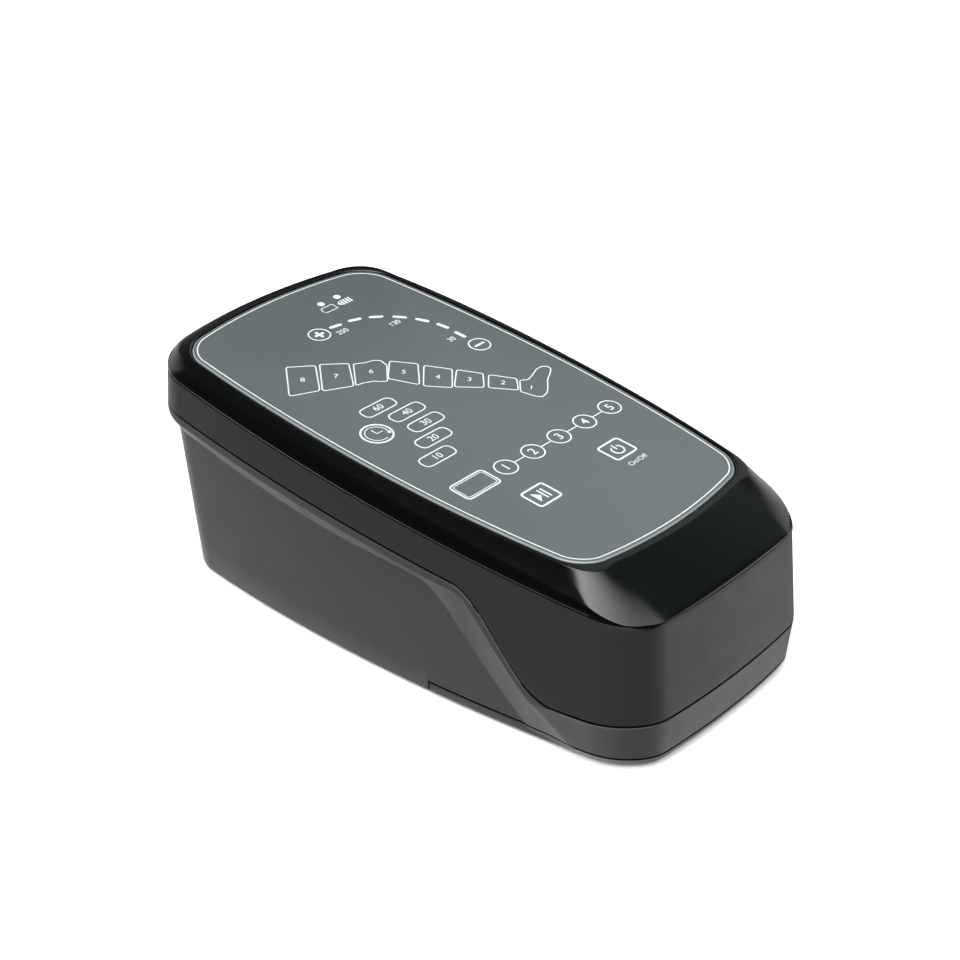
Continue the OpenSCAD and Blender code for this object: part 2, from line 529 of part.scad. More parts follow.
// ================= valves =================
function valve_x(k) = valve_pitch * (k - 4.5);
vy = 62;
man_top = 12.4;
module valve_manifold() color([0.82, 0.83, 0.8]) difference() {
  union() {
    box(-46, 46, 55, 69, 2.4, man_top);
    for (k = [1:8]) cy(valve_x(k), 7.4, 2, 69, 71.5);
    cy(-42, 7.4, 2, 51, 55);
  }
  for (k = [1:8]) {
    cy(valve_x(k), 7.4, 1.1, 64, 74);
    cz(valve_x(k), vy, 1.4, 6, 13);
  }
  cx(58, 7.4, 1.2, -43, 44);
  cy(-42, 7.4, 1.2, 50, 58);
  cy(36, 7.4, 1.2, 54, 58);
}
module valve_frames() color([0.7, 0.7, 0.72]) for (k = [1:8]) translate([valve_x(k), vy, 0]) difference() {
  union() {
    box(-5.2, 5.2, -6.2, 6.2, man_top, man_top + 1.5);
    box(-5.2, 5.2, -6.2, 6.2, 28, 29.5);
    box(-5.2, 5.2, 5.0, 6.2, man_top + 1.4, 28.1);
  }
  cz(0, 0, 2.6, man_top - 1, man_top + 2);
}
module valve_coils() color([0.75, 0.4, 0.15]) for (k = [1:8]) translate([valve_x(k), vy, 0]) difference() {
  cz(0, 0, 4.8, man_top + 1.5, 28);
  cz(0, 0, 2.6, man_top + 1, 29);
}
module valve_springs() color([0.8, 0.8, 0.82]) for (k = [1:8]) translate([valve_x(k), vy, 0]) difference() {
  cz(0, 0, 2.2, 23.6, 28);
  cz(0, 0, 1.6, 23, 29);
}
module valve_plunger(k) color([0.5, 0.5, 0.52]) translate([valve_x(k), vy, 0]) {
  cz(0, 0, 2.5, man_top + 0.05, 23.6);
}
module valve_plunger_1() valve_plunger(1);
module valve_plunger_2() valve_plunger(2);
module valve_plunger_3() valve_plunger(3);
module valve_plunger_4() valve_plunger(4);
module valve_plunger_5() valve_plunger(5);
module valve_plunger_6() valve_plunger(6);
module valve_plunger_7() valve_plunger(7);
module valve_plunger_8() valve_plunger(8);

// ================= tubes =================
function bez(a, b, c, d, t) = a * pow(1 - t, 3) + b * 3 * t * pow(1 - t, 2) + c * 3 * t * t * (1 - t) + d * t * t * t;
function unit(v) = v / norm(v);
// round tube swept along a curve from a to d, leaving along b and arriving from c
module sweep(a, b, c, d, r, n = 12) {
  pts = [for (k = [0:n]) bez(a, b, c, d, k / n)];
  tan0 = [for (k = [0:n]) k == 0 ? unit(b - a) : k == n ? unit(d - c) : unit(pts[k + 1] - pts[k - 1])];
  rings = [for (k = [0:n]) let (t = tan0[k], u = unit(cross(t, abs(t[0]) > 0.8 ? [0, 1, 0] : [1, 0, 0])), v = cross(t, u))
    [for (j = [0:7]) pts[k] + r * (cos(45 * j) * u + sin(45 * j) * v)]];
  ring_stack(rings, pts[0], pts[n]);
}
// odd valves feed the lower row of nozzles, even valves the upper row
module air_tubes() color([0.75, 0.78, 0.8]) for (k = [0:3], row = [0, 1]) {
  a = [valve_x(2 * k + 1 + row), 71.5, 7.4];
  d = [nozzle_x(k, row), 81, socket_z[row]];
  sweep(a, a + [0, 10 - 4.5 * row, 0], d + [0, -5 - 6 * row, 0], d, 1.7, 12);
}
module pump_hoses() color([0.75, 0.78, 0.8]) {
  sweep([-24.5, rod_y[0] + 5, mz + 19], [-24.5, rod_y[0] + 5, mz + 50], [-47, 25, 7.4], [-42, 50.9, 7.4], 1.9, 18);
  sweep([24.5, rod_y[1] - 5, mz + 19], [24.5, rod_y[1] - 5, mz + 38], [-24.5, rod_y[0] - 5, mz + 38], [-24.5, rod_y[0] - 5, mz + 19], 1.9, 16);
}
module relief_body() color([0.8, 0.81, 0.78]) difference() {
  union() { cy(36, 7.4, 4.2, 41, 54.9); cy(36, 7.4, 3, 39.5, 41.1); }
  cy(36, 7.4, 2.6, 42.4, 56);
  cy(36, 7.4, 1, 39, 43);
}
module relief_poppet() color([0.3, 0.3, 0.32]) cy(36, 7.4, 2.5, 48, 54.6);
module relief_spring() color([0.8, 0.8, 0.82]) difference() { cy(36, 7.4, 2.2, 42.6, 48); cy(36, 7.4, 1.6, 42, 49); }

place() top_bezel();
place() control_panel();
place() panel_seal();
place() panel_frame();
place() display_board();
place() touch_pads();
place() panel_leds();
place() board_screws();
place() upper_housing();
place() lower_housing();
place() housing_screws();
place() rear_feet();
place() battery_cover();
place() front_feet();
place() battery_pad();
place() battery_tray();
place() battery_cells();
place() battery_end_plates();
place() main_board();
place() main_board_screws();
place() board_chips();
place() board_capacitors();
place() buzzer();
place() pressure_sensor();
place() port_bay();
place() outlet_socket();
place() dc_jack();
place() motor_case();
place() motor_shaft();
place() eccentric();
place() crankcase();
place() left_rod();
place() right_rod();
place() left_diaphragm();
place() right_diaphragm();
place() pump_heads();
place() head_screws();
place() pump_bracket();
place() pump_grommets();
place() pump_screws();
place() inlet_filter();
place() valve_manifold();
place() valve_frames();
place() valve_coils();
place() valve_springs();
place() valve_plunger_1();
place() valve_plunger_2();
place() valve_plunger_3();
place() valve_plunger_4();
place() valve_plunger_5();
place() valve_plunger_6();
place() valve_plunger_7();
place() valve_plunger_8();
place() air_tubes();
place() pump_hoses();
place() relief_body();
place() relief_poppet();
place() relief_spring();
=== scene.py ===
import json
import math
import bpy
import bmesh
import numpy as np
from mathutils import Vector, Matrix


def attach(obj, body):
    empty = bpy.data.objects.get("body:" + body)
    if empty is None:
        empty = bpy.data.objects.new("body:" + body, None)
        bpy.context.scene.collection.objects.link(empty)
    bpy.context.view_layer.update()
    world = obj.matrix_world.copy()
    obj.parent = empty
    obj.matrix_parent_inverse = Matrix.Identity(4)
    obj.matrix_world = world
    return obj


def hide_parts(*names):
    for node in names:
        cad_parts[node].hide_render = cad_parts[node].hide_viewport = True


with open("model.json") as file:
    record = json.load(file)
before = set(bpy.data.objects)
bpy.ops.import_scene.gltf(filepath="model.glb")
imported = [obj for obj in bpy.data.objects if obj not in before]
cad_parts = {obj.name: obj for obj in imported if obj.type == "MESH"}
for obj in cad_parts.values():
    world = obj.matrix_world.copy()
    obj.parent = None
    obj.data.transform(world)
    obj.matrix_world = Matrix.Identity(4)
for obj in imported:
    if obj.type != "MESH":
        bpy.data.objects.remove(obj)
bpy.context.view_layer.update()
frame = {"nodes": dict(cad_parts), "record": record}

NODES = frame["nodes"]
MM = 0.001
SY, FZ = 0.9, 1.2            # where the modelling frame sits in the row frame, in mm

# ------------------------------------------------------------------ shape of the case (mm)
HW, YF, YB, YW = 57.2, -110.0, 110.0, 21.0
NC, NS, NE = 22, 84, 44
TILT = math.radians(5.5)
PAN_Y, PAN_Z = -31.0, 71.0


def outline(w, yf, yb, rf, rb, kf, kb, yw, bf, bb):
    p = []

    def arc(cx, cy, r, a0):
        for i in range(NC):
            a = math.radians(a0 + 90.0 * i / NC)
            p.append((cx + r * math.cos(a), cy + r * math.sin(a)))

    def seg(x0, y0, x1, y1, n):
        for i in range(n):
            p.append((x0 + (x1 - x0) * i / n, y0 + (y1 - y0) * i / n))

    arc(w - rb, yb - rb, rb, 0); seg(w - rb, yb, rb - w, yb, NE)
    arc(rb - w, yb - rb, rb, 90); seg(-w, yb - rb, -w, yf + rf, NS)
    arc(rf - w, yf + rf, rf, 180); seg(rf - w, yf, w - rf, yf, NE)
    arc(w - rf, yf + rf, rf, 270); seg(w, yf + rf, w, yb - rb, NS)
    p = np.array(p)
    x, y = p[:, 0], p[:, 1]
    ww = w - np.where(y < yw, kf, kb) * (y - yw) ** 2
    s = (y - (yf + yb) / 2) / ((yb - yf) / 2)
    return np.c_[x * ww / w, y - np.sign(s) * np.abs(s) ** 3 * np.where(s > 0, bb, bf) * x * x]


def normals(o):
    d = np.roll(o, -1, 0) - np.roll(o, 1, 0)
    n = np.c_[d[:, 1], -d[:, 0]]
    n = n / np.linalg.norm(n, axis=1)[:, None]
    for _ in range(2):       # even out the step where arcs meet sides
        n = (np.roll(n, 1, 0) + 2 * n + np.roll(n, -1, 0)) / 4
        n = n / np.linalg.norm(n, axis=1)[:, None]
    return n


def grow(o, d):
    return o + normals(o) * d


PLAN = outline(HW, YF, YB, 16.5, 19.7, .000725, .000675, YW, .0010, .0014)
NRM = normals(PLAN)
PX, PY = PLAN[:, 0], PLAN[:, 1]
PRINT = outline(48.19, -55.62, 130.36, 9.06, 10.75, .000805, .000616, 45.84, .002043, .002345)


def clamp(t):
    return np.clip(t, 0, 1)


def smooth(t):
    u = clamp(t)
    return u * u * (3 - 2 * u)


def mix(a, b, t):
    return a + (b - a) * t


def ease(y, ya, yb, e):
    t = clamp((ya - y) / (ya - yb))
    return np.where(t < e, t * t / (2 * e * (1 - e)),
                    np.where(t > 1 - e, 1 - (1 - t) ** 2 / (2 * e * (1 - e)), (t - e / 2) / (1 - e)))


def z_panel(y):
    return PAN_Z + math.tan(TILT) * (y - PAN_Y)


def z_edge(y):
    return z_panel(y) - mix(6.7, 11.0, smooth((108 - y) / 255))


SEAM_D, SEAM_F = 13.2, 17.8


def z_seam(y):
    k = clamp((110 - y) / 150)
    return mix(z_edge(y) - SEAM_D + 1.9 * k, SEAM_F, ease(y, -40.2, -81, .36))


def z_ridge(y):
    k = clamp((110 - y) / 150)
    return mix(z_edge(y) - SEAM_D - 3.7 + 2 * k, 3.4, ease(y, -42.1, -88, .12))


def z_ramp(y):
    return np.maximum(1.7, mix(z_edge(y) - SEAM_D - 7.1 + 2.2 * smooth((25 - y) / 55), -3, ease(y, -25.8, -80, .24)))


def dir_off(side, front, back):
    return side * NRM[:, 0] ** 2 + np.where(NRM[:, 1] > 0, back, front) * NRM[:, 1] ** 2


EDGE, SEAM, RIDGE, RAMP, REC = z_edge(PY), z_seam(PY), z_ridge(PY), z_ramp(PY), smooth((PY + 90) / 18)


def flared(z):
    return .083 * (EDGE - z)


def outer_off(z):
    z = np.broadcast_to(np.asarray(z, float), PX.shape)
    mid = mix(dir_off(.4, 1.6, 0), flared(SEAM_F), (z - 3.4) / (SEAM_F - 3.4))
    low = mix(dir_off(-1.8, -.2, -1.8), dir_off(.4, 1.6, 0), z / 3.4)
    return np.where(z >= SEAM_F, flared(z), np.where(z >= 3.4, mid, low))


def tub_off(z):
    t = clamp(z / 58)
    return dir_off(mix(-1.9, -.95, t), mix(-.2, 1.6, t), mix(-1.4, -2.1, t))


def tub_pull(z):
    return mix(7.7, .9, clamp(np.asarray(z, float) / 58))


def skin_off(z):
    z = np.broadcast_to(np.asarray(z, float), PX.shape)
    return mix(outer_off(z), tub_off(z), REC)


def at(off, z, pull=0.0):
    return np.c_[PX + NRM[:, 0] * off, PY + NRM[:, 1] * off - pull * clamp((PY - 30) / (YB - 30)),
                 np.broadcast_to(np.asarray(z, float), PX.shape)]


def skin(z, inn=0.0):
    return at(skin_off(z) - inn, z, tub_pull(z))


C5, S5 = math.cos(TILT), math.sin(TILT)


def from_panel(x, y, z):
    """Points of the tilted panel frame, in the modelling frame (mm)."""
    x, y, z = np.broadcast_arrays(np.asarray(x, float), np.asarray(y, float), np.asarray(z, float))
    return np.stack([x, PAN_Y + y * C5 - z * S5, PAN_Z + y * S5 + z * C5], -1)


def pan_ring(d, z):
    o = grow(PRINT, d)
    return from_panel(o[:, 0], o[:, 1], z)


# ------------------------------------------------------------------ meshes
def row(v):
    """Modelling frame in mm to the row frame in metres."""
    return (np.asarray(v, float) + np.array([0, SY, FZ])) * MM


def new_mesh(name, verts, faces):
    me = bpy.data.meshes.new(name)
    me.from_pydata([tuple(p) for p in verts], [], faces)
    me.validate()
    bm = bmesh.new()
    bm.from_mesh(me)
    bmesh.ops.recalc_face_normals(bm, faces=bm.faces)
    bm.to_mesh(me)
    bm.free()
    return me


def new_object(name, me):
    ob = bpy.data.objects.new(name, me)
    bpy.context.scene.collection.objects.link(ob)
    return ob


def band(n, k, j):
    return [(k * n + i, k * n + (i + 1) % n, j * n + (i + 1) % n, j * n + i) for i in range(n)]


def tube_mesh(name, rings):
    n, m = len(rings[0]), len(rings)
    faces = []
    for k in range(m):
        faces += band(n, k, (k + 1) % m)
    return new_mesh(name, row(np.concatenate(rings)), faces)


def stack_mesh(name, rings, low=None, high=None):
    n, m = len(rings[0]), len(rings)
    faces = []
    for k in range(m - 1):
        faces += band(n, k, k + 1)
    v = np.concatenate(rings)
    if low is None:
        faces += [tuple(range(n)), tuple(range((m - 1) * n, m * n))]
    else:
        v = np.concatenate([v, [low, high]])
        faces += [(m * n, i, (i + 1) % n) for i in range(n)]
        faces += [(m * n + 1, (m - 1) * n + (i + 1) % n, (m - 1) * n + i) for i in range(n)]
    return new_mesh(name, row(v), faces)


def box_mesh(name, x0, x1, y0, y1, z0, z1):
    v = [(x, y, z) for z in (z0, z1) for x, y in ((x0, y0), (x1, y0), (x1, y1), (x0, y1))]
    return new_mesh(name, row(v), [(3, 2, 1, 0), (4, 5, 6, 7), (0, 1, 5, 4), (1, 2, 6, 5), (2, 3, 7, 6), (3, 0, 4, 7)])


def rod_mesh(name, x, y, r, z0, z1, n=64):
    a = np.linspace(0, 2 * math.pi, n, endpoint=False)
    c = np.c_[x + r * np.cos(a), y + r * np.sin(a)]
    return stack_mesh(name, [np.c_[c, np.full(n, z0)], np.c_[c, np.full(n, z1)]])


def boolean(ob, me, op):
    """Applies one boolean with a throwaway operand."""
    other = new_object("operand", me)
    m = ob.modifiers.new("b", "BOOLEAN")
    m.operation = op
    m.solver = "MANIFOLD"
    m.object = other
    bpy.context.view_layer.update()
    dg = bpy.context.evaluated_depsgraph_get()
    out = bpy.data.meshes.new_from_object(ob.evaluated_get(dg))
    ob.modifiers.clear()
    old = ob.data
    ob.data = out
    bpy.data.meshes.remove(old)
    bpy.data.objects.remove(other)
    bpy.data.meshes.remove(me)


def soften(ob, angle=28):
    me = ob.data
    me.polygons.foreach_set("use_smooth", [True] * len(me.polygons))
    me.set_sharp_from_angle(angle=math.radians(angle))
    me.update()


def dark_gap(ob, inside):
    """Faces that only show through a parting gap are coloured near-black: painted shade for the dark inside of a deep
    gap.
    """
    ob.data.materials.append(M["gap_shadow"])
    for p in ob.data.polygons:
        c, n = p.center * 1000, p.normal
        if inside(c[0], c[1] - SY, c[2] - FZ, n[0], n[1], n[2]):
            p.material_index = len(ob.data.materials) - 1
    return ob


def finish_piece(ob, body, mat, nodes=(), angle=28):
    soften(ob, angle)
    ob.data.materials.clear()
    ob.data.materials.append(mat)
    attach(ob, body)
    if nodes:
        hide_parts(*nodes)
    return ob


# ------------------------------------------------------------------ materials
def node_mat(name):
    m = bpy.data.materials.new(name)
    m.use_nodes = True
    nt = m.node_tree
    bsdf = next(n for n in nt.nodes if n.type == "BSDF_PRINCIPLED")
    return m, nt, bsdf


def noise(nt, scale, detail=4.0, rough=.5, stretch=(1, 1, 1)):
    co = nt.nodes.new("ShaderNodeTexCoord")
    mp = nt.nodes.new("ShaderNodeMapping")
    mp.inputs["Scale"].default_value = stretch
    no = nt.nodes.new("ShaderNodeTexNoise")
    no.inputs["Scale"].default_value = scale
    no.inputs["Detail"].default_value = detail
    no.inputs["Roughness"].default_value = rough
    nt.links.new(co.outputs["Object"], mp.inputs["Vector"])
    nt.links.new(mp.outputs["Vector"], no.inputs["Vector"])
    return no.outputs["Fac"]


def ramp(nt, fac, a, b, lo=.3, hi=.7):
    r = nt.nodes.new("ShaderNodeMapRange")
    r.inputs["From Min"].default_value = lo
    r.inputs["From Max"].default_value = hi
    r.inputs["To Min"].default_value = a
    r.inputs["To Max"].default_value = b
    nt.links.new(fac, r.inputs["Value"])
    return r.outputs["Result"]


def colour_mix(nt, fac, a, b):
    m = nt.nodes.new("ShaderNodeMix")
    m.data_type = "RGBA"
    m.inputs["A"].default_value = (*a, 1)
    m.inputs["B"].default_value = (*b, 1)
    nt.links.new(fac, m.inputs["Factor"])
    return m.outputs["Result"]


def plastic(name, col, rough, vary=.06, rvary=.04, grain=0.0, grain_scale=2500, bump=.15, coat=0.0,
            coat_rough=.1, metallic=0.0, spec=.5, blot=22, sheen=0.0, stretch=(1, 1, 1)):
    """Moulded surface: cloudy tone and roughness, and a fine grain in its bump."""
    m, nt, b = node_mat(name)
    f = noise(nt, blot, 5.0, .55, stretch)
    lo = tuple(max(0.0, c * (1 - vary)) for c in col)
    hi = tuple(min(1.0, c * (1 + vary)) for c in col)
    nt.links.new(colour_mix(nt, ramp(nt, f, 0, 1), lo, hi), b.inputs["Base Color"])
    g = noise(nt, blot * 7, 6.0, .6, stretch)
    nt.links.new(ramp(nt, g, max(.02, rough - rvary), min(1, rough + rvary)), b.inputs["Roughness"])
    b.inputs["Metallic"].default_value = metallic
    b.inputs["Specular IOR Level"].default_value = spec
    b.inputs["Coat Weight"].default_value = coat
    b.inputs["Coat Roughness"].default_value = coat_rough
    if sheen:
        b.inputs["Sheen Weight"].default_value = sheen
    if grain:
        h = noise(nt, grain_scale, 3.0, .6, stretch)
        bp = nt.nodes.new("ShaderNodeBump")
        bp.inputs["Strength"].default_value = bump
        bp.inputs["Distance"].default_value = grain
        nt.links.new(h, bp.inputs["Height"])
        nt.links.new(bp.outputs["Normal"], b.inputs["Normal"])
    return m


M = {}
M["gloss_black"] = plastic("bezel_gloss_black", (.0010, .0012, .0013), .21, .10, .02, .00002, 1800, .12, spec=.5, blot=30)
M["panel_grey"] = plastic("panel_lens_grey", (.068, .085, .087), .34, .03, .03, 0, coat=.5, coat_rough=.12, blot=12)
M["foam_black"] = plastic("foam_black", (.025, .025, .026), .95, .25, .04, .0003, 900, .6, blot=300)
M["white_plastic"] = plastic("acetal_white", (.70, .70, .66), .42, .03, .05, .00002, 1500, .2)
M["circuit_board"] = plastic("board_green", (.012, .085, .04), .35, .12, .08, .00004, 600, .3, blot=120)
M["led_lens"] = plastic("led_clear", (.72, .72, .6), .12, .05, .02, 0)
M["steel"] = plastic("zinc_steel", (.55, .56, .58), .32, .06, .08, .00001, 1500, .2, metallic=1, blot=80)
M["matte_black"] = plastic("housing_black", (.018, .018, .019), .52, .05, .03, .00006, 3200, .22, spec=.5, blot=14)
M["dark_grey"] = plastic("housing_dark_grey", (.042, .042, .043), .50, .05, .03, .00006, 3200, .22, spec=.5, blot=14)
M["rubber_black"] = plastic("rubber_black", (.016, .016, .016), .75, .15, .08, .00006, 900, .3, blot=60)
M["black_plastic"] = plastic("moulded_black", (.014, .014, .015), .45, .10, .06, .00004, 1600, .25, blot=40)
M["cell_wrap"] = plastic("cell_sleeve_blue", (.015, .07, .22), .28, .08, .05, .00003, 300, .2, blot=60)
M["capacitor_sleeve"] = plastic("capacitor_sleeve", (.02, .03, .09), .3, .1, .05, .00002, 400, .2, blot=90)
M["motor_steel"] = plastic("motor_can", (.45, .46, .48), .36, .06, .08, .00002, 900, .2, metallic=1, stretch=(1, .1, 1), blot=120)
M["brass_cam"] = plastic("turned_brass", (.60, .45, .20), .28, .06, .06, .00002, 900, .25, metallic=1, stretch=(6, 1, 6), blot=60)
M["cast_alloy"] = plastic("cast_alloy", (.50, .51, .51), .48, .08, .08, .0001, 700, .5, metallic=1, blot=60)
M["filter_felt"] = plastic("filter_felt", (.38, .37, .32), .95, .15, .03, .0003, 1200, .8, blot=200, sheen=.3)
M["copper_winding"] = plastic("enamelled_copper", (.42, .15, .05), .3, .12, .06, .0002, 2600, .7, metallic=.7, stretch=(.04, .04, 1), blot=40)
M["plunger_steel"] = plastic("ground_steel", (.42, .42, .44), .25, .05, .05, .00001, 1500, .2, metallic=1, stretch=(1, 1, 8), blot=90)
M["clear_tube"] = plastic("clear_tube", (.50, .53, .55), .22, .06, .05, .00002, 500, .2, blot=40)
# near-black for faces inside parting gaps: painted shade standing in for the shade deep in narrow gaps
M["gap_shadow"] = plastic("gap_shadow", (.0016, .0016, .0016), .9, .2, .03, .00002, 900, .2, spec=.1)
M["print_white"] = plastic("printed_white", (.56, .58, .58), .40, .03, .04, 0, blot=60)
# rim of the lens: smoother polished finish, and a lighter base colour that is a painted glint along the edge
M["lens_edge"] = plastic("lens_polished_edge_painted_glint", (.20, .22, .22), .18, .04, .03, 0, blot=40)

SLOT = {s["node"]: s["material_slot"] for s in frame["record"]["subparts"]}
for name, ob in NODES.items():
    ob.data.materials.clear()
    ob.data.materials.append(M[SLOT[name]])
    soften(ob, 32)

# ------------------------------------------------------------------ bezel
LENS_T, SEAL_T = 1.2, 0.5
SEAT = -LENS_T - SEAL_T

def round_case(side, rc, rear, fc, front):
    """A value blended round the outline from the side to the corners and the ends."""
    n = NRM[:, 1]
    t = np.arcsin(np.clip(np.abs(n), 0, 1)) / (math.pi / 2)
    c, e = np.where(n >= 0, rc, fc), np.where(n >= 0, rear, front)
    return np.where(t < .5, mix(side, c, smooth(2 * t)), mix(c, e, smooth(2 * t - 1)))


def build_bezel():
    lip = pan_ring(2.9, .2)
    edge = at(0, EDGE)
    v = edge - lip
    d, h = np.linalg.norm(v[:, :2], axis=1), -v[:, 2]
    u = np.c_[v[:, 0] / d, v[:, 1] / d, 0 * d]
    w = round_case(1.45, 3.5, 2.3, 3.5, 1.4)
    g = np.radians(round_case(31.2, 53, 30.5, 36, 30.6))
    rc = round_case(.8, 2.1, 1.5, 3.0, 1.0)
    g0 = np.radians(round_case(10, 3, 5, 9, 10))
    s, c = np.sin(g), np.cos(g)
    t0 = np.tan(g0)
    sec = [(w * 0, w * 0), (w * .3, w * .26 * t0), (w * .65, w * .63 * t0)]
    for t in np.linspace(0, 1, 8):
        a = g0 + (g - g0) * t
        sec.append((w + rc * (np.sin(a) - np.sin(g0)), w * t0 + rc * (np.cos(g0) - np.cos(a))))
    b0, b1 = d - sec[-1][0], h - sec[-1][1]
    slope = np.maximum(.2, b0 * c / (1 - s) - b1)
    r = np.maximum(.3, (c * b1 - s * b0) / (1 - s))
    x1, z1 = sec[-1]
    for t in (.08, .25, .5, .75, .92, 1):
        sec.append((x1 + slope * t * c, z1 + slope * t * s))
    x2, z2 = sec[-1]
    for t in np.linspace(0, 1, 11)[1:-1]:
        a = g + (math.pi / 2 - g) * t
        sec.append((x2 + r * (np.sin(a) - s), z2 + r * (c - np.cos(a))))
    outer = [lip + u * x[:, None] - np.c_[0 * d, 0 * d, z] for x, z in sec]
    rings = [at(-2.4, EDGE + .14), at(-.55, EDGE + .14), at(-.2, EDGE + .2), at(-.06, EDGE + .38)]
    rings += [p for p in outer[::-1]]
    rings += [pan_ring(2.62, .16), pan_ring(2.34, .02), pan_ring(2.16, -.22), pan_ring(2.1, -.5),
              pan_ring(2.1, SEAT), pan_ring(-1.6, SEAT), pan_ring(-1.6, SEAT - 1.6), pan_ring(1.8, SEAT - 1.6)]
    ob = new_object("bezel_shell", tube_mesh("bezel_shell", rings))
    return finish_piece(ob, "housing", M["gloss_black"], ["top_bezel"], 40)


# ------------------------------------------------------------------ housings
FRONT_BOSS, REAR_BOSS = (44.7, -84), (40, 84)
COVER_Z = 4.1
GROMMETS = [(21.6, -14), (21.6, 44)]


def both(f):
    return [f(1), f(-1)]


def build_upper():
    lo, hi = SEAM + .38, EDGE - .16
    rings = [at(flared(lo) - .4, lo), at(flared(lo) - .14, lo + .08), at(flared(lo) - .03, lo + .2), at(flared(lo + .4), lo + .4)]
    for t in np.linspace(.1, .94, 12):
        z = mix(lo, hi, t)
        rings.append(at(flared(z), z))
    rings += [at(flared(hi - .3), hi - .3), at(flared(hi) - .08, hi - .08), at(flared(hi) - .3, hi)]
    for t in (1, .5, 0):
        z = mix(lo, hi, t)
        rings.append(at(flared(z) - 2.4, z))
    ob = new_object("upper_shell", tube_mesh("upper_shell", rings))
    for s in (1, -1):
        boolean(ob, rod_mesh("o", s * FRONT_BOSS[0], FRONT_BOSS[1], 4.2, 30, 50), "UNION")
        boolean(ob, rod_mesh("o", s * REAR_BOSS[0], REAR_BOSS[1], 4.2, 50, 73), "UNION")
        x = sorted((s * REAR_BOSS[0], s * 53.4))
        boolean(ob, box_mesh("o", x[0], x[1], 83, 85, 64, 73), "UNION")
        boolean(ob, rod_mesh("o", s * FRONT_BOSS[0], FRONT_BOSS[1], 1.45, 29, 45), "DIFFERENCE")
        boolean(ob, rod_mesh("o", s * REAR_BOSS[0], REAR_BOSS[1], 1.45, 49, 66), "DIFFERENCE")
    finish_piece(ob, "housing", M["matte_black"], ["upper_housing"], 30)
    # top faces of the upper housing just under the bezel get painted shade
    return dark_gap(ob, lambda x, y, z, a, b, c: c > .35 and z > z_edge(y) - .3)


def block_rings():
    r = REC
    rings = []
    for a in (0, 30, 60):                      # rolled base edge
        a = math.radians(a)
        z = .8 * (1 - math.cos(a))
        rings.append(at(skin_off(z) - .9 * (1 - math.sin(a)), z, tub_pull(z)))
    rings.append(skin(.8))
    for t in (.2, .4, .6, .8, .93, .985, 1.0):  # wall of the tub
        rings.append(skin(mix(.8, RAMP, t)))
    low = skin(RAMP)
    top = at(outer_off(RIDGE) - .4 * r, RIDGE, 1.1 * r)
    for t in (.03, .1, .35, .65, .9, .97):     # ramp up to the ridge
        rings.append(mix(low, top, t))
    for t in (0, .03, .08, .15, .25, .4, .55, .7, .82, .92, 1):   # band between the ridge and the parting line
        z = mix(RIDGE, SEAM - .68, t)
        rings.append(at(outer_off(z) - .4 * r * (1 - t) ** 7, z, 1.1 * r * (1 - t) ** 7))
    rings.append(at(flared(SEAM) - .05, SEAM - .5))
    rings.append(at(flared(SEAM) - .17, SEAM - .38))
    rings.append(at(flared(SEAM) - .4, SEAM - .33))
    return rings


def lower_block(name):
    rings = block_rings()
    return stack_mesh(name, rings, (0, 0, 0), (0, 0, 40))


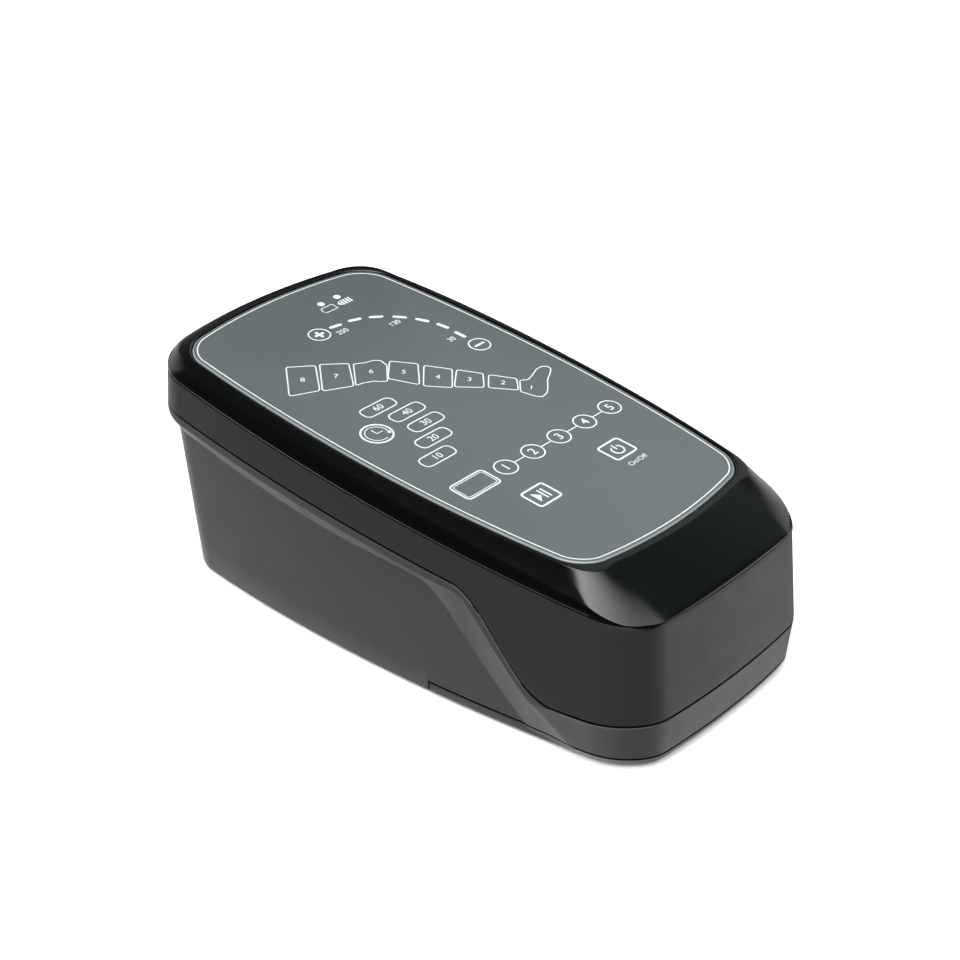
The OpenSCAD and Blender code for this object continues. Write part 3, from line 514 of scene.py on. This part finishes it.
def build_lower():
    wall = 2.2
    seam_in = mix(at(flared(SEAM) - wall, SEAM), skin(SEAM, wall), REC[:, None])
    rings = block_rings() + [seam_in, skin(mix(RIDGE, SEAM, .4), wall), skin(np.maximum(4, RAMP + 1.2), wall + .3),
                             skin(2.4, wall)]
    ob = new_object("lower_shell", stack_mesh("lower_shell", rings, (0, 0, 0), (0, 0, 2.4)))
    slab = skin(5, wall - .5)
    slab[:, 1] = np.minimum(slab[:, 1], -25)
    low, high = slab.copy(), slab.copy()
    low[:, 2], high[:, 2] = COVER_Z, 6.8
    boolean(ob, stack_mesh("o", [low, high], (0, -60, COVER_Z), (0, -60, 6.8)), "UNION")
    for s in (1, -1):
        boolean(ob, rod_mesh("o", s * FRONT_BOSS[0], FRONT_BOSS[1], 4.2, COVER_Z, 29.8), "UNION")
        boolean(ob, rod_mesh("o", s * REAR_BOSS[0], REAR_BOSS[1], 4.2, .5, 49.8), "UNION")
        for g in GROMMETS:
            boolean(ob, rod_mesh("o", s * g[0], g[1], 2, 2, 9.5), "UNION")
    boolean(ob, box_mesh("o", -80, 80, -140, -28, -5, COVER_Z + .12), "DIFFERENCE")
    boolean(ob, box_mesh("o", -38.6, 38.6, -99.3, -30.7, 3, 9), "DIFFERENCE")
    boolean(ob, box_mesh("o", -33.8, 33.8, 86, 125, 17.2, 46.8), "DIFFERENCE")
    for s in (1, -1):
        boolean(ob, rod_mesh("o", s * FRONT_BOSS[0], FRONT_BOSS[1], 1.6, 3, 31), "DIFFERENCE")
        boolean(ob, rod_mesh("o", s * FRONT_BOSS[0], FRONT_BOSS[1], 3.1, 3, 8), "DIFFERENCE")
        boolean(ob, rod_mesh("o", s * REAR_BOSS[0], REAR_BOSS[1], 1.6, -2, 52), "DIFFERENCE")
        boolean(ob, rod_mesh("o", s * REAR_BOSS[0], REAR_BOSS[1], 3.1, -2, 7), "DIFFERENCE")
        for g in GROMMETS:
            boolean(ob, rod_mesh("o", s * g[0], g[1], .95, 3, 10), "DIFFERENCE")
        boolean(ob, rod_mesh("o", s * 34, 66, 7.15, -1, .7), "DIFFERENCE")
        x = sorted((s * 41.8, s * 43.2)); w = sorted((s * 40.6, s * 44.4))
        boolean(ob, box_mesh("o", x[0], x[1], -76, -32, 2.9, COVER_Z + .4), "UNION")
        boolean(ob, box_mesh("o", w[0], w[1], -76, -32, 2.3, 2.95), "UNION")
    finish_piece(ob, "housing", M["dark_grey"], ["lower_housing"], 26)
    # faces in the parting groove and at the cover joint get painted shade
    return dark_gap(ob, lambda x, y, z, a, b, c: (c > .6 and -.37 < z - z_seam(y) < .3)
                    or (b < -.9 and -28.1 < y < -27.9 and z < COVER_Z + .2))


def build_cover():
    g = .62
    ob = new_object("cover_shell", lower_block("cover_shell"))
    boolean(ob, box_mesh("o", -80, 80, -140, -28 - g, -5, COVER_Z - g), "INTERSECT")
    inner = skin(2.4, 2.2)
    low, high = inner.copy(), inner.copy()
    low[:, 2], high[:, 2] = 1.8, 6
    boolean(ob, stack_mesh("o", [low, high], (0, 0, 1.8), (0, 0, 6)), "DIFFERENCE")
    for s in (1, -1):
        for a, b, z0, z1 in ((38.9, 40.1, 1.5, 3.7), (44.9, 46.1, 1.5, 3.7), (38.9, 41.5, 3.15, 3.7), (43.5, 46.1, 3.15, 3.7)):
            x = sorted((s * a, s * b))
            boolean(ob, box_mesh("o", x[0], x[1], -74, -34, z0, z1), "UNION")
        boolean(ob, rod_mesh("o", s * 34, -84, 7.15, -1, .7), "DIFFERENCE")
    finish_piece(ob, "battery_cover", M["dark_grey"], ["battery_cover"], 26)
    # the cover's faces inside its joint get painted shade
    return dark_gap(ob, lambda x, y, z, a, b, c: (c > .9 and abs(z - COVER_Z + g) < .05) or (b > .9 and y > -29))


# ------------------------------------------------------------------ panel lens
def build_lens():
    rings = [pan_ring(1.7, -LENS_T), pan_ring(1.7, -.42), pan_ring(1.62, -.26), pan_ring(1.32, -.03), pan_ring(1.2, 0)]
    c = from_panel(0, 40, 0)
    ob = new_object("panel_lens", stack_mesh("panel_lens", rings, from_panel(0, 40, -LENS_T), from_panel(0, 40, 0)))
    finish_piece(ob, "housing", M["panel_grey"], ["control_panel"], 18)
    ob.data.materials.append(M["lens_edge"])
    me = ob.data
    n = len(PRINT)
    top = PAN_Z
    # the rounded rim band takes the lighter edge colour: painted glint along the lens edge, on top of its smoother
    # finish
    for p in me.polygons:
        nz = p.normal[2] * C5 - p.normal[1] * S5
        if .15 < nz < .985:
            p.material_index = 1
    return ob


# ------------------------------------------------------------------ foam
def build_battery_pad():
    """Foam sheet stuck to the cover: flat underneath, crowned on top, its sides drawn in between the corners."""
    def ring(inset, z, draw=0.0):
        out = []
        for cx, cy, a0 in ((33, -38, 0), (-33, -38, 90), (-33, -92, 180), (33, -92, 270)):
            nx, ny, na = {0: (-33, -38, 90), 90: (-33, -92, 180), 180: (33, -92, 270), 270: (33, -38, 0)}[a0]
            r = max(.4, 3 - inset)
            k = max(0, inset - 2.6)
            fx, fy = cx - math.copysign(k, cx), cy - math.copysign(k, cy + 65)
            for t in np.linspace(0, 90, 9):
                a = math.radians(a0 + t)
                out.append((fx + r * math.cos(a), fy + r * math.sin(a)))
            gx, gy = nx - math.copysign(k, nx), ny - math.copysign(k, ny + 65)
            a = math.radians(a0 + 90)
            p0 = np.array([fx + r * math.cos(a), fy + r * math.sin(a)])
            p1 = np.array([gx + r * math.cos(a), gy + r * math.sin(a)])
            for t in np.linspace(0, 1, 13)[1:-1]:
                p = mix(p0, p1, t) - draw * math.sin(math.pi * t) * np.array([math.cos(a), math.sin(a)])
                out.append(tuple(p))
        return np.c_[np.array(out), np.full(len(out), z)]
    rings = [ring(.5, 1.8), ring(.1, 1.95), ring(0, 2.4, .35), ring(.1, 2.95, .3), ring(.55, 3.3, .2),
             ring(1.5, 3.5), ring(3.5, 3.61), ring(7, 3.69), ring(13, 3.75), ring(21, 3.79)]
    ob = new_object("battery_foam", stack_mesh("battery_foam", rings, (0, -65, 1.8), (0, -65, 3.8)))
    finish_piece(ob, "battery_cover", M["foam_black"], ["battery_pad"], 60)


def build_touch_foam():
    """Crowned foam buttons under the keys, each in the place of its CAD cylinder."""
    src = NODES["touch_pads"]
    bm = bmesh.new()
    bm.from_mesh(src.data)
    bmesh.ops.remove_doubles(bm, verts=bm.verts, dist=1e-6)
    seen, verts, faces = set(), [], []
    up = Vector((0, -S5, C5))
    side = Vector((1, 0, 0))
    fore = up.cross(side)
    for v0 in bm.verts:
        if v0.index in seen:
            continue
        stack, island = [v0], []
        seen.add(v0.index)
        while stack:
            v = stack.pop()
            island.append(src.matrix_world @ v.co)
            for e in v.link_edges:
                w = e.other_vert(v)
                if w.index not in seen:
                    seen.add(w.index)
                    stack.append(w)
        along = [p.dot(up) for p in island]
        if max(along) - min(along) < .001:
            continue
        c = sum(island, Vector()) / len(island)
        c += up * ((max(along) + min(along)) / 2 - c.dot(up))
        h = (max(along) - min(along)) / 2
        r = max((p - c - up * (p - c).dot(up)).length for p in island)
        prof = [(.80, -1), (.96, -.96), (1, -.80), (.97, -.3), (.955, 0), (.97, .3), (1, .78), (.95, .90), (.80, .955), (.5, .985)]
        base, n = len(verts), 28
        for q, z in prof:
            for i in range(n):
                a = 2 * math.pi * i / n
                verts.append(c + side * (q * r * math.cos(a)) + fore * (q * r * math.sin(a)) + up * (z * h))
        for k in range(len(prof) - 1):
            for i in range(n):
                j = (i + 1) % n
                a, b = base + k * n, base + (k + 1) * n
                faces.append((a + i, a + j, b + j, b + i))
        lo, hi = len(verts), len(verts) + 1
        verts += [c - up * h, c + up * h]
        top = base + (len(prof) - 1) * n
        for i in range(n):
            j = (i + 1) % n
            faces.append((lo, base + j, base + i))
            faces.append((hi, top + i, top + j))
    bm.free()
    ob = new_object("touch_foam", new_mesh("touch_foam", verts, faces))
    finish_piece(ob, "housing", M["foam_black"], ["touch_pads"], 60)


# ------------------------------------------------------------------ printed marks
class Ink:
    """Thin raised print on the lens, gathered into one mesh; x and y are panel millimetres."""

    def __init__(self):
        self.v, self.f = [], []
        self.lo, self.hi = -.02, .035

    def prism(self, loop, hole=None):
        n = len(loop)
        base = len(self.v)
        pts = [(x, y, z) for z in (self.lo, self.hi) for x, y in loop]
        if hole is not None:
            pts += [(x, y, z) for z in (self.lo, self.hi) for x, y in hole]
        self.v += pts
        for i in range(n):
            j = (i + 1) % n
            if hole is None:
                self.f.append((base + i, base + j, base + n + j, base + n + i))
            else:
                a, b, c, d = base, base + n, base + 2 * n, base + 3 * n
                self.f += [(a + i, a + j, b + j, b + i), (c + j, c + i, d + i, d + j),
                           (b + i, b + j, d + j, d + i), (a + j, a + i, c + i, c + j)]
        if hole is None:
            self.f += [tuple(base + i for i in reversed(range(n))), tuple(base + n + i for i in range(n))]

    def loop(self, pts, w):
        """Closed line of width w."""
        p = np.asarray(pts, float)
        a, b = p - np.roll(p, 1, 0), np.roll(p, -1, 0) - p
        a /= np.linalg.norm(a, axis=1)[:, None]; b /= np.linalg.norm(b, axis=1)[:, None]
        m = a + b
        m /= np.linalg.norm(m, axis=1)[:, None]
        nn = np.c_[m[:, 1], -m[:, 0]]
        k = 1 / np.maximum(.35, (nn * np.c_[a[:, 1], -a[:, 0]]).sum(1))
        self.prism((p + nn * (k * w / 2)[:, None]).tolist(), (p - nn * (k * w / 2)[:, None]).tolist())

    def line(self, pts, w, caps=True):
        """Open line with round ends."""
        p = np.asarray(pts, float)
        n = len(p)
        d = np.array([p[min(n - 1, i + 1)] - p[max(0, i - 1)] for i in range(n)])
        d /= np.linalg.norm(d, axis=1)[:, None]
        nn = np.c_[d[:, 1], -d[:, 0]]
        left, right = p + nn * w / 2, p - nn * w / 2
        a0 = math.atan2(nn[-1][1], nn[-1][0])
        e1 = [p[-1] + w / 2 * np.array([math.cos(a0 + t), math.sin(a0 + t)]) for t in np.linspace(0, math.pi, 9)[1:-1]] if caps else []
        a0 = math.atan2(-nn[0][1], -nn[0][0])
        e0 = [p[0] + w / 2 * np.array([math.cos(a0 + t), math.sin(a0 + t)]) for t in np.linspace(0, math.pi, 9)[1:-1]] if caps else []
        if np.cross(d[-1], nn[-1]) > 0:
            pass
        poly = [*left, *e1, *right[::-1], *e0]
        self.prism([tuple(q) for q in poly])

    def disc(self, x, y, r, n=32):
        self.prism([(x + r * math.cos(a), y + r * math.sin(a)) for a in np.linspace(0, 2 * math.pi, n, endpoint=False)])

    def ring(self, x, y, r, w, n=56):
        self.loop([(x + r * math.cos(a), y + r * math.sin(a)) for a in np.linspace(0, 2 * math.pi, n, endpoint=False)], w)

    def poly(self, pts):
        self.prism([tuple(p) for p in pts])

    def text(self, body, x, y, size, angle=0.0, bold=.0):
        cu = bpy.data.curves.new("t", "FONT")
        cu.body = body
        cu.size = 1.0
        cu.align_x, cu.align_y = "CENTER", "CENTER"
        cu.extrude = .5
        cu.offset = bold
        cu.resolution_u = 5
        ob = new_object("t", cu)
        bpy.context.view_layer.update()
        me = bpy.data.meshes.new_from_object(ob.evaluated_get(bpy.context.evaluated_depsgraph_get()))
        bm = bmesh.new(); bm.from_mesh(me); bmesh.ops.remove_doubles(bm, verts=bm.verts, dist=1e-5)
        bm.verts.ensure_lookup_table()
        ca, sa = math.cos(math.radians(angle)), math.sin(math.radians(angle))
        base = len(self.v)
        for v in bm.verts:
            px, py = v.co.x * size, v.co.y * size
            self.v.append((x + px * ca - py * sa, y + px * sa + py * ca, self.hi if v.co.z > 0 else self.lo))
        for f in bm.faces:
            self.f.append(tuple(base + v.index for v in f.verts))
        bm.free()
        bpy.data.objects.remove(ob); bpy.data.meshes.remove(me); bpy.data.curves.remove(cu)

    def build(self, name, body, mat):
        v = np.array(self.v)
        ob = new_object(name, new_mesh(name, row(from_panel(v[:, 0], v[:, 1], v[:, 2])), self.f))
        return finish_piece(ob, body, mat, (), 40)


def rounded(pts, r, n=6):
    """Rounds the corners of a polygon."""
    p = np.asarray(pts, float)
    out = []
    for i in range(len(p)):
        a, b, c = p[i - 1], p[i], p[(i + 1) % len(p)]
        u, v = (a - b) / np.linalg.norm(a - b), (c - b) / np.linalg.norm(c - b)
        half = math.acos(max(-1, min(1, float(u @ v)))) / 2
        d = min(r / math.tan(half), .45 * np.linalg.norm(a - b), .45 * np.linalg.norm(c - b))
        s, e = b + u * d, b + v * d
        for t in np.linspace(0, 1, n):
            out.append((1 - t) ** 2 * s + 2 * t * (1 - t) * b + t * t * e)
    return np.array(out)


def rect(x, y, w, h, r, angle=0.0):
    p = rounded([(-w / 2, -h / 2), (w / 2, -h / 2), (w / 2, h / 2), (-w / 2, h / 2)], r, 7)
    a = math.radians(angle)
    return np.c_[x + p[:, 0] * math.cos(a) - p[:, 1] * math.sin(a), y + p[:, 0] * math.sin(a) + p[:, 1] * math.cos(a)]


def px(X, Y):
    """Place on the panel from the layout grid (26 divisions to 4 mm)."""
    return (X / 26 - 14) * 4 - 17.22, (42 - Y / 26) * 4


def build_print():
    k = Ink()
    LW = .44
    k.loop(PRINT, .42)
    # mode rings with their joining lines
    ring_x = [-17.22 + 13.38 * i for i in range(5)]
    for i, x in enumerate(ring_x):
        k.ring(x, 0, 4, .5)
        k.text(str(i + 1), x, -.1, 5.2, 0, .004)
        if i:
            k.line([(ring_x[i - 1] + 4.2, 0), (x - 4.2, 0)], LW)
    # mode frame, double line
    mx, my = px(268, 1091)
    k.loop(rect(mx, my, 15.5, 9.2, 1.8), .62)
    k.loop(rect(mx, my, 13.7, 7.4, 1.1), .28)
    # plus and minus keys
    x, y = 3.607 * 4 - 17.22, 25.381 * 4
    k.ring(x, y, 3.95, .5)
    k.poly([(x + a, y + b) for a, b in ((-2.1, -.55), (-.55, -.55), (-.55, -2.1), (.55, -2.1), (.55, -.55), (2.1, -.55), (2.1, .55), (.55, .55), (.55, 2.1), (-.55, 2.1), (-.55, .55), (-2.1, .55))])
    x, y = 12.969 * 4 - 17.22, 14.600 * 4
    k.ring(x, y, 3.95, .5)
    k.poly([(x + a, y + b) for a, b in ((-2.4, -.5), (2.4, -.5), (2.4, .5), (-2.4, .5))])
    # scale: seven rounded dashes on an arc, with numbers
    dash = [px(*p) for p in ((513, 429), (567, 438), (614, 462), (655, 500), (684, 546), (700, 597), (701, 652))]
    for i, (x, y) in enumerate(dash):
        a, b = dash[max(0, i - 1)], dash[min(6, i + 1)]
        d = np.array(b) - np.array(a)
        d /= np.linalg.norm(d)
        k.line([np.array((x, y)) - d * 1.95, np.array((x, y)) + d * 1.95], 1.5)
    for t, p in (("250", (508, 458)), ("130", (626, 512)), ("30", (670, 653))):
        k.text(t, *px(*p), 3.4, 0, .002)
    # lamps and battery marks
    for p in ((560, 332), (613, 332)):
        k.disc(*px(*p), 1.4)
    x, y = px(560, 360)
    k.loop([(x - 2.3, y - 1.7), (x + 2.9, y - 1.7), (x + 2.9, y + 1.7), (x - 2.3, y + 1.7), (x - 3.2, y + .7), (x - 3.2, y - .7)], .34)
    x, y = px(613, 360)
    k.poly([(x - 3.7, y), (x - 2.2, y - 1.6), (x - 2.2, y + 1.6)])
    for i in range(4):
        a = x - 1.9 + 1.25 * i
        k.poly([(a, y - 1.6), (a + .72, y - 1.6), (a + 1.12, y + 1.6), (a + .4, y + 1.6)])
    # leg diagram in eight plain segments with numbers
    segs = {8: ((301, 486), (355, 525), (288, 608), (222, 580)), 7: ((365, 528), (417, 569), (357, 645), (291, 614)),
            6: ((423, 578), (448, 592), (468, 597), (480, 609), (475, 633), (426, 683), (404, 661), (381, 650), (361, 648)),
            5: ((493, 624), (532, 676), (469, 741), (436, 675)),
            4: ((537, 690), (572, 745), (514, 799), (472, 750)), 3: ((578, 753), (610, 805), (567, 847), (520, 800)),
            2: ((616, 817), (650, 871), (616, 907), (574, 854)),
            1: ((650, 881), (666, 892), (687, 886), (714, 875), (733, 875), (744, 885), (740, 897), (724, 908), (697, 923),
                (672, 946), (654, 958), (635, 962), (625, 951), (615, 914))}
    for n, p in segs.items():
        q = np.array([px(*a) for a in p])
        k.loop(rounded(q, 1.1, 5), LW)
        c = q.mean(0)
        if n == 1:
            c = np.array(px(646, 919))
        k.text(str(n), c[0], c[1], 3.6, -42 if n > 5 else -52, .0)
    # time pills with numbers
    for t, p in ((60, (333, 745)), (40, (367, 800)), (30, (368, 856)), (20, (334, 910)), (10, (288, 965))):
        x, y = px(*p)
        k.loop(rect(x, y, 14.5, 5.6, 2.75), .48)
        k.text(str(t), x, y - .05, 4.1, 0, .0)
    # clock: dial, turning arrow and two hands
    x, y = -4.147 * 4 - 17.22, 10.595 * 4
    k.ring(x, y, 5.5, .72)
    k.line([(x + 4.1 * math.cos(math.radians(a)), y + 4.1 * math.sin(math.radians(a))) for a in np.linspace(-22, 285, 47)], .34)
    k.poly([(x + 2.9, y - 1.5), (x + 4.7, y - 1.5), (x + 3.8, y - 2.9)])
    k.line([(x, y + 2.6), (x, y), (x + 2.5, y)], .42)
    # start key
    x, y = px(341, 1210)
    k.loop(rect(x, y, 10.2, 9.1, 1.4), .78)
    k.poly([(x - 2.7, y - 2.6), (x - .1, y), (x - 2.7, y + 2.6)])
    for a in (.35, 1.85):
        k.poly([(x + a, y - 2.6), (x + a + .62, y - 2.6), (x + a + .62, y + 2.6), (x + a, y + 2.6)])
    # power key
    x, y = px(592, 1210)
    k.loop(rect(x, y, 10.2, 9.1, 1.4), .78)
    k.line([(x + 2.25 * math.cos(math.radians(a)), y - .3 + 2.25 * math.sin(math.radians(a))) for a in np.linspace(128, 412, 33)], .6)
    k.line([(x, y + .2), (x, y + 2.5)], .6)
    k.text("On/Off", *px(592, 1267), 3.0, 0, .0)
    return k.build("panel_print", "housing", M["print_white"])


build_bezel()
build_upper()
build_lower()
build_cover()
build_lens()
build_battery_pad()
build_touch_foam()
build_print()

# ------------------------------------------------------------------ small edges on carried-over parts
for n in ("port_bay", "outlet_socket", "dc_jack", "rear_feet", "front_feet", "battery_tray", "crankcase", "pump_heads", "valve_manifold"):
    b = NODES[n].modifiers.new("edge", "BEVEL")
    b.width = .00025
    b.segments = 2
    b.limit_method = "ANGLE"
    b.angle_limit = math.radians(50)
    b.harden_normals = False

# ------------------------------------------------------------------ stage, light, camera
scene = bpy.context.scene
scene.view_settings.view_transform = "Standard"

fl, nt, b = node_mat("stage_floor")
f = noise(nt, 3.0, 3.0)
nt.links.new(colour_mix(nt, f, (.90, .90, .90), (.92, .92, .92)), b.inputs["Base Color"])
b.inputs["Roughness"].default_value = .9
b.inputs["Specular IOR Level"].default_value = .1
me = new_mesh("stage_floor", [(-4, -4, 0), (4, -4, 0), (4, 4, 0), (-4, 4, 0)], [(0, 1, 2, 3)])
floor = new_object("stage_floor", me)
floor.data.materials.append(fl)
floor.visible_glossy = False
floor.visible_diffuse = False
floor.visible_shadow = False

w = bpy.data.worlds.new("studio")
scene.world = w
w.use_nodes = True
wt = w.node_tree
back = wt.nodes["Background"]
back.inputs["Strength"].default_value = 1.0
coord = wt.nodes.new("ShaderNodeTexCoord")


def lobe(centre, wide, tight, colour):
    """Soft patch of studio light round one direction, full inside tight degrees and gone beyond wide."""
    v = Vector(centre).normalized()
    dot = wt.nodes.new("ShaderNodeVectorMath")
    dot.operation = "DOT_PRODUCT"
    dot.inputs[1].default_value = v
    wt.links.new(coord.outputs["Generated"], dot.inputs[0])
    r = wt.nodes.new("ShaderNodeMapRange")
    r.interpolation_type = "SMOOTHSTEP"
    r.inputs["From Min"].default_value = math.cos(math.radians(wide))
    r.inputs["From Max"].default_value = math.cos(math.radians(tight))
    wt.links.new(dot.outputs["Value"], r.inputs["Value"])
    sc = wt.nodes.new("ShaderNodeVectorMath")
    sc.operation = "SCALE"
    sc.inputs[0].default_value = colour
    wt.links.new(r.outputs["Result"], sc.inputs["Scale"])
    return sc.outputs["Vector"]


def strip(centre, wide, tight, axis, start, full, peak, end, level):
    """Long soft box: a crisp edge at one end of its axis, fading away evenly to the other."""
    body = lobe(centre, wide, tight, (level, level, level))
    dot = wt.nodes.new("ShaderNodeVectorMath")
    dot.operation = "DOT_PRODUCT"
    dot.inputs[1].default_value = Vector(axis).normalized()
    wt.links.new(coord.outputs["Generated"], dot.inputs[0])
    gain = None
    for kind, a, b, lo, hi in (("SMOOTHSTEP", start, full, 0, 1), ("LINEAR", peak, end, 1, 0)):
        r = wt.nodes.new("ShaderNodeMapRange")
        r.interpolation_type = kind
        r.clamp = True
        r.inputs["From Min"].default_value, r.inputs["From Max"].default_value = a, b
        r.inputs["To Min"].default_value, r.inputs["To Max"].default_value = lo, hi
        wt.links.new(dot.outputs["Value"], r.inputs["Value"])
        if gain is None:
            gain = r.outputs["Result"]
        else:
            mul = wt.nodes.new("ShaderNodeMath")
            mul.operation = "MULTIPLY"
            wt.links.new(gain, mul.inputs[0])
            wt.links.new(r.outputs["Result"], mul.inputs[1])
            gain = mul.outputs["Value"]
    sc = wt.nodes.new("ShaderNodeVectorMath")
    sc.operation = "SCALE"
    wt.links.new(body, sc.inputs[0])
    wt.links.new(gain, sc.inputs["Scale"])
    return sc.outputs["Vector"]


LOBES = [
    lobe((.72, .22, .65), 30, 5, (.52, .52, .52)),
    lobe((.10, .97, .22), 34, 10, (.8, .8, .8)),
    lobe((.61, -.38, .70), 45, 15, (.024, .066, .071)),
    lobe((.98, .10, .00), 34, 8, (.85, .85, .9)),
    lobe((.66, -.53, -.54), 38, 8, (1.55, 1.55, 1.55)),
    lobe((.15, -.12, -.97), 42, 15, (.75, .75, .75)),
    lobe((.12, .62, -.77), 42, 16, (1.75, 1.75, 1.75)),
    lobe((-.50, .10, -.86), 30, 8, (1.15, 1.15, 1.15)),
    strip((-.20, -.42, .885), 44, 26, (.85, -.45, .25), -.42, -.34, -.24, .80, 8.0),
]
total = None
for out in LOBES:
    if total is None:
        total = out
        continue
    add = wt.nodes.new("ShaderNodeVectorMath")
    add.operation = "ADD"
    wt.links.new(total, add.inputs[0])
    wt.links.new(out, add.inputs[1])
    total = add.outputs["Vector"]
add = wt.nodes.new("ShaderNodeVectorMath")
add.operation = "ADD"
wt.links.new(total, add.inputs[0])
add.inputs[1].default_value = (.035, .036, .037)
wt.links.new(add.outputs["Vector"], back.inputs["Color"])


def area(name, direction, dist, size, level, target=(0, 0, .04), size_y=None, colour=(1, 1, 1), gloss=True):
    """Soft box of the given brightness; gloss False keeps it out of mirror-like reflections."""
    li = bpy.data.lights.new(name, "AREA")
    li.energy = level * math.pi * size * (size_y or size)
    li.color = colour
    li.shape = "RECTANGLE"
    li.size = size
    li.size_y = size_y or size
    ob = bpy.data.objects.new(name, li)
    d = Vector(direction).normalized()
    ob.location = Vector(target) + d * dist
    ob.rotation_euler = (-d).to_track_quat("-Z", "Y").to_euler()
    ob.visible_glossy = gloss
    scene.collection.objects.link(ob)
    return ob


area("light_fill", (.05, .1, 1), 1.6, 2.4, .98, gloss=False)
area("light_back", (-.42, .90, .15), 1.5, 1.0, 1.2, gloss=False)
area("light_left", (-.80, .20, .60), 1.5, 1.0, 2.5, gloss=False)

cam = bpy.data.cameras.new("camera")
cam.lens = 74.787
cam.sensor_width = 36
cam.clip_start, cam.clip_end = .05, 20
co = bpy.data.objects.new("camera", cam)
scene.collection.objects.link(co)
scene.camera = co
R0 = Vector((.66861, -.38664, .63520)); R1 = Vector((-.74136, -.41307, .52892)); R2 = Vector((.05788, -.82455, -.56282))
# columns are the panel's axes in the camera frame (x right, y down, z forward); turned to world axes
A = Matrix((R0, R1, R2)).transposed()             # panel -> camera
Wp = Matrix(((1, 0, 0), (0, C5, S5), (0, -S5, C5)))   # world -> panel
W2C = A @ Wp
fix = Matrix(((1, 0, 0), (0, -1, 0), (0, 0, -1)))
rot = (fix @ W2C).transposed()
co.matrix_world = Matrix.Translation(Vector(row((-435.484, -401.651, 397.178)))) @ rot.to_4x4()
